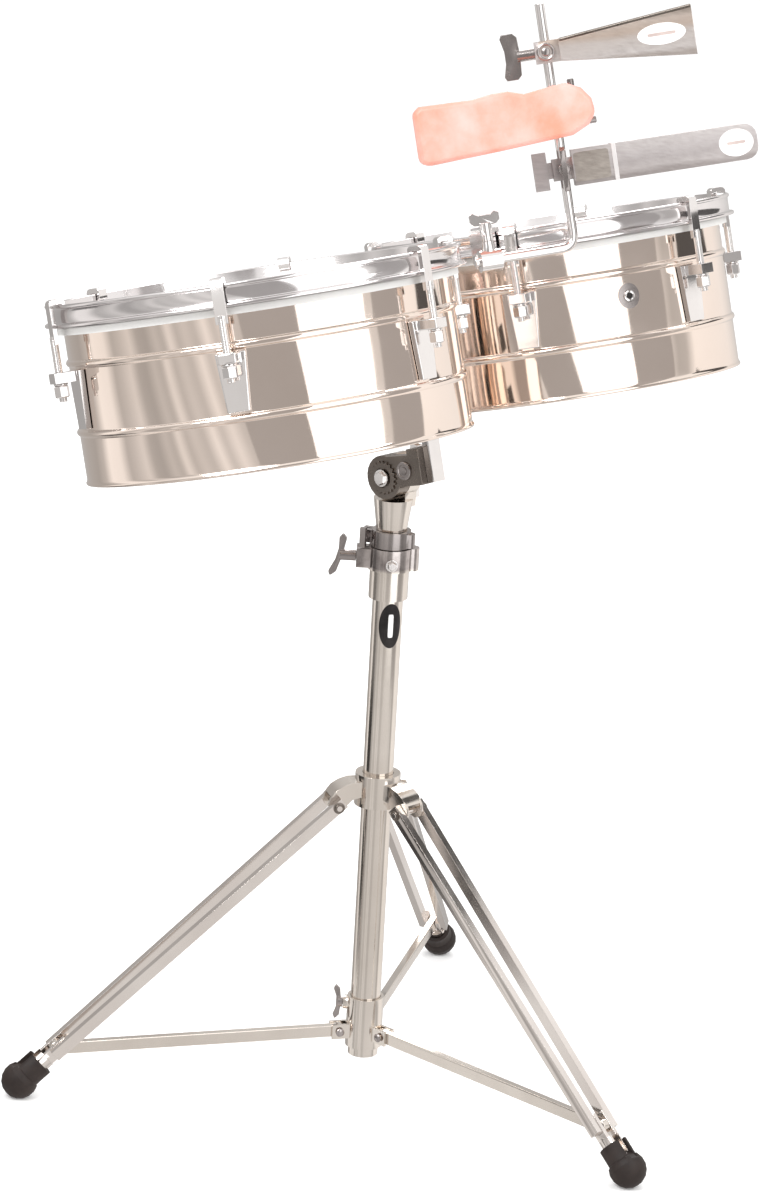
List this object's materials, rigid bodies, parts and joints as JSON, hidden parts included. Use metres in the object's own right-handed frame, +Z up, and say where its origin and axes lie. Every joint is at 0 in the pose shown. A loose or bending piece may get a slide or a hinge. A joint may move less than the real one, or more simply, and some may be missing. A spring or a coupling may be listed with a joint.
{
  "type": "timbales",
  "caption": "Pair of single-headed bronze-finished metal drums on a tilting, folding tripod stand, with a rod that carries two cowbells and a red plastic jam block.",
  "frame": {"origin": "on the floor, under the middle of the bounding box", "axes": "+Z up; X along the line of the two drum centres, with the larger drum on -X; drummer on the +Y side, audience on -Y"},
  "size_m": [0.8494, 0.608, 1.1751],
  "materials": {
    "chrome": "mirror-bright plate",
    "bronze": "polished, bronze tint",
    "dark_steel": "dark satin",
    "bell_steel": "brushed, smoked grey",
    "film": "coated, matt",
    "rubber": "matt",
    "red_plastic": "satin, mottled"
  },
  "bodies": {
    "stand": {"tripod_tube": "chrome", "leg_collar": "chrome", "height_clamp": "chrome"},
    "leg_1": {"leg_1": "chrome", "foot_1": "rubber"},
    "leg_2": {"leg_2": "chrome", "foot_2": "rubber"},
    "leg_3": {"leg_3": "chrome", "foot_3": "rubber"},
    "lower_collar": {"lower_collar": "chrome"},
    "stay_1": {"stay_1": "chrome"},
    "stay_2": {"stay_2": "chrome"},
    "stay_3": {"stay_3": "chrome"},
    "lower_bolt": {"lower_wing_bolt": "chrome"},
    "height_bolt": {"height_wing_bolt": "chrome"},
    "memory_lock": {"memory_lock": "dark_steel"},
    "mast": {"height_tube": "chrome", "tilter_base": "chrome"},
    "tilter_bolt": {"tilter_bolt": "chrome"},
    "drums": {"tilter_arm": "dark_steel", "centre_bracket": "chrome", "shell_15in": "bronze", "head_15in": "film", "hoop_15in": "chrome", "lug_15in_1": "chrome", "lug_15in_2": "chrome", "lug_15in_3": "chrome", "lug_15in_4": "chrome", "lug_15in_5": "chrome", "lug_15in_6": "chrome", "tension_hook_15in_1": "chrome", "tension_hook_15in_2": "chrome", "tension_hook_15in_3": "chrome", "tension_hook_15in_4": "chrome", "tension_hook_15in_5": "chrome", "tension_hook_15in_6": "chrome", "shell_14in": "bronze", "head_14in": "film", "hoop_14in": "chrome", "lug_14in_1": "chrome", "lug_14in_2": "chrome", "lug_14in_3": "chrome", "lug_14in_4": "chrome", "lug_14in_5": "chrome", "lug_14in_6": "chrome", "tension_hook_14in_1": "chrome", "tension_hook_14in_2": "chrome", "tension_hook_14in_3": "chrome", "tension_hook_14in_4": "chrome", "tension_hook_14in_5": "chrome", "tension_hook_14in_6": "chrome", "bell_bracket": "chrome"},
    "bracket_bolt": {"bracket_wing_bolt": "chrome"},
    "bell_post": {"bell_rod": "chrome"},
    "small_bell": {"small_cowbell": "bell_steel"},
    "small_bell_bolt": {"small_cowbell_wing_bolt": "chrome"},
    "large_bell": {"large_cowbell": "bell_steel"},
    "large_bell_bolt": {"large_cowbell_wing_bolt": "chrome"},
    "block": {"jam_block": "red_plastic", "jam_block_bracket": "chrome"}
  },
  "joints": [
    {"name": "leg_1_fold", "type": "hinge", "parent": "stand", "child": "leg_1", "pos_m": [-0.02737, 0.11384, 0.311], "axis": [-0.5225, -0.8526, 0], "range_deg": [0, 39.14]},
    {"name": "leg_2_fold", "type": "hinge", "parent": "stand", "child": "leg_2", "pos_m": [0.01147, 0.0423, 0.311], "axis": [0.9997, -0.0262, 0], "range_deg": [0, 39.14]},
    {"name": "leg_3_fold", "type": "hinge", "parent": "stand", "child": "leg_3", "pos_m": [0.054, 0.11171, 0.311], "axis": [-0.4772, 0.8788, 0], "range_deg": [0, 39.14]},
    {"name": "lower_collar_slide", "type": "slide", "parent": "stand", "child": "lower_collar", "axis": [0, 0, 1], "range_m": [0, 0.17241]},
    {"name": "stay_1_turn", "type": "hinge", "parent": "lower_collar", "child": "stay_1", "pos_m": [-0.01203, 0.10444, 0.05208], "axis": [-0.5225, -0.8526, 0], "range_deg": [0, 75.14]},
    {"name": "stay_2_turn", "type": "hinge", "parent": "lower_collar", "child": "stay_2", "pos_m": [0.01194, 0.06029, 0.05208], "axis": [0.9997, -0.0262, 0], "range_deg": [0, 75.14]},
    {"name": "stay_3_turn", "type": "hinge", "parent": "lower_collar", "child": "stay_3", "pos_m": [0.03819, 0.10312, 0.05208], "axis": [-0.4772, 0.8788, 0], "range_deg": [0, 75.14]},
    {"name": "lower_bolt_turn", "type": "hinge", "parent": "lower_collar", "child": "lower_bolt", "pos_m": [0.0127, 0.08928, 0.08108], "axis": [-0.6561, 0.7547, 0], "range_deg": [0, 360]},
    {"name": "height_bolt_turn", "type": "hinge", "parent": "stand", "child": "height_bolt", "pos_m": [0.0127, 0.08928, 0.577], "axis": [-0.6561, 0.7547, 0], "range_deg": [0, 360]},
    {"name": "height_slide", "type": "slide", "parent": "stand", "child": "memory_lock", "axis": [0, 0, 1], "range_m": [0, 0.22]},
    {"name": "stand_swivel", "type": "hinge", "parent": "memory_lock", "child": "mast", "pos_m": [0.0127, 0.08928, 0.665], "axis": [0, 0, 1], "continuous": true},
    {"name": "tilter_bolt_turn", "type": "hinge", "parent": "mast", "child": "tilter_bolt", "pos_m": [0.0127, 0.08928, 0.665], "axis": [1, 0, 0], "range_deg": [0, 360]},
    {"name": "drum_tilt", "type": "hinge", "parent": "mast", "child": "drums", "pos_m": [0.0127, 0.08928, 0.665], "axis": [-1, 0, 0], "range_deg": [-15.8, 44]},
    {"name": "bracket_bolt_turn", "type": "hinge", "parent": "drums", "child": "bracket_bolt", "pos_m": [0.0047, -0.02755, 0.91319], "axis": [0, 0.2723, 0.9622], "range_deg": [0, 360]},
    {"name": "bell_post_tilt", "type": "hinge", "parent": "drums", "child": "bell_post", "pos_m": [0.0047, -0.02755, 0.91319], "axis": [0.8423, -0.5187, 0.1468], "range_deg": [0, 60]},
    {"name": "small_bell_swivel", "type": "hinge", "parent": "bell_post", "child": "small_bell", "pos_m": [0.0797, -0.02065, 1.11389], "axis": [0, 0.2723, 0.9622], "continuous": true},
    {"name": "small_bell_bolt_turn", "type": "hinge", "parent": "small_bell", "child": "small_bell_bolt", "pos_m": [0.0797, -0.02065, 1.11389], "axis": [-0.6157, 0.7582, -0.2146], "range_deg": [0, 360]},
    {"name": "large_bell_swivel", "type": "hinge", "parent": "bell_post", "child": "large_bell", "pos_m": [0.0797, -0.0525, 1.00131], "axis": [0, 0.2723, 0.9622], "continuous": true},
    {"name": "large_bell_bolt_turn", "type": "hinge", "parent": "large_bell", "child": "large_bell_bolt", "pos_m": [0.0797, -0.0525, 1.00131], "axis": [-0.7431, -0.6438, 0.1822], "range_deg": [0, 360]},
    {"name": "block_swivel", "type": "hinge", "parent": "bell_post", "child": "block", "pos_m": [0.0797, -0.03753, 1.05423], "axis": [0, 0.2723, 0.9622], "continuous": true}
  ],
  "couplings": [
    {"joint": "leg_2_fold", "follows": "leg_1_fold", "ratio": 1},
    {"joint": "leg_3_fold", "follows": "leg_1_fold", "ratio": 1},
    {"joint": "lower_collar_slide", "follows": "leg_1_fold", "m_per_rad": 0.25239},
    {"joint": "stay_1_turn", "follows": "leg_1_fold", "ratio": 1.9199},
    {"joint": "stay_2_turn", "follows": "leg_1_fold", "ratio": 1.9199},
    {"joint": "stay_3_turn", "follows": "leg_1_fold", "ratio": 1.9199}
  ]
}
